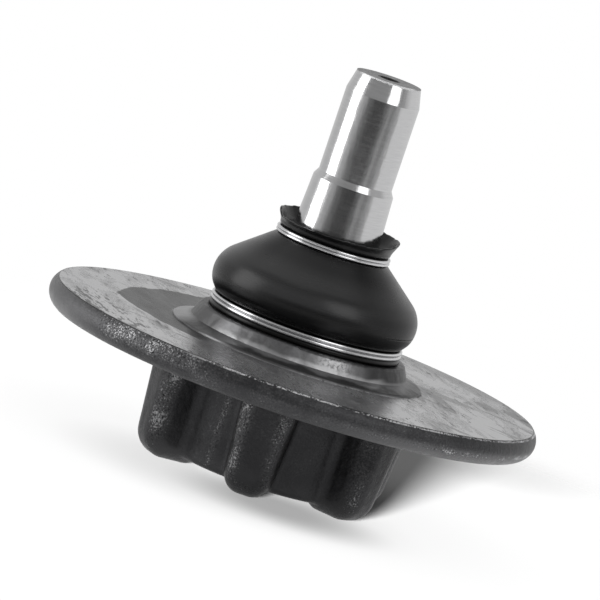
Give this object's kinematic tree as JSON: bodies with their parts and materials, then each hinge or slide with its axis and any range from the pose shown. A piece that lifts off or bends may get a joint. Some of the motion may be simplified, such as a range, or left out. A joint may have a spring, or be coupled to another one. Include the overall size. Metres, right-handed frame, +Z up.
{
  "type": "suspension ball joint",
  "caption": "Upright ball joint: a round flanged socket with ribs below, a plain clamping stud above, and a rubber dust boot held by wire rings.",
  "frame": {"origin": "centre of the plane of the six rib feet, on the stud's axis", "axes": "+Z up the stud's axis, out of the socket's mouth; -Y faces the viewer; X to the right"},
  "size_m": [0.1206, 0.1206, 0.1004],
  "materials": {
    "forged_steel": "bare forged steel, shot-blasted and oiled, with a turned top face",
    "ground_steel": "hardened, ground and polished",
    "boot_rubber": "black chloroprene rubber, satin",
    "wire_steel": "bright drawn spring wire",
    "seat_plastic": "natural white acetal, greased",
    "spring_steel": "phosphated spring steel",
    "plated_steel": "zinc-plated sheet steel"
  },
  "bodies": {
    "housing": {"housing": "forged_steel", "upper_seat": "seat_plastic", "lower_seat": "seat_plastic", "disc_spring": "spring_steel", "closing_cover": "plated_steel"},
    "boot": {"dust_boot": "boot_rubber", "lower_clip": "wire_steel"},
    "boot_neck": {"upper_clip": "wire_steel"},
    "stud": {"ball_stud": "ground_steel"}
  },
  "joints": [
    {"name": "boot_turn", "type": "hinge", "parent": "housing", "child": "boot", "pos_m": [0, 0, 0.0216], "axis": [0, 0, 1], "continuous": true},
    {"name": "ball_tilt", "type": "hinge", "parent": "boot", "child": "boot_neck", "pos_m": [0, 0, 0.0216], "axis": [1, 0, 0], "range_deg": [-15, 15], "deforming": ["dust_boot"]},
    {"name": "stud_swivel", "type": "hinge", "parent": "boot_neck", "child": "stud", "pos_m": [0, 0, 0.0216], "axis": [0, 0, 1], "continuous": true}
  ]
}
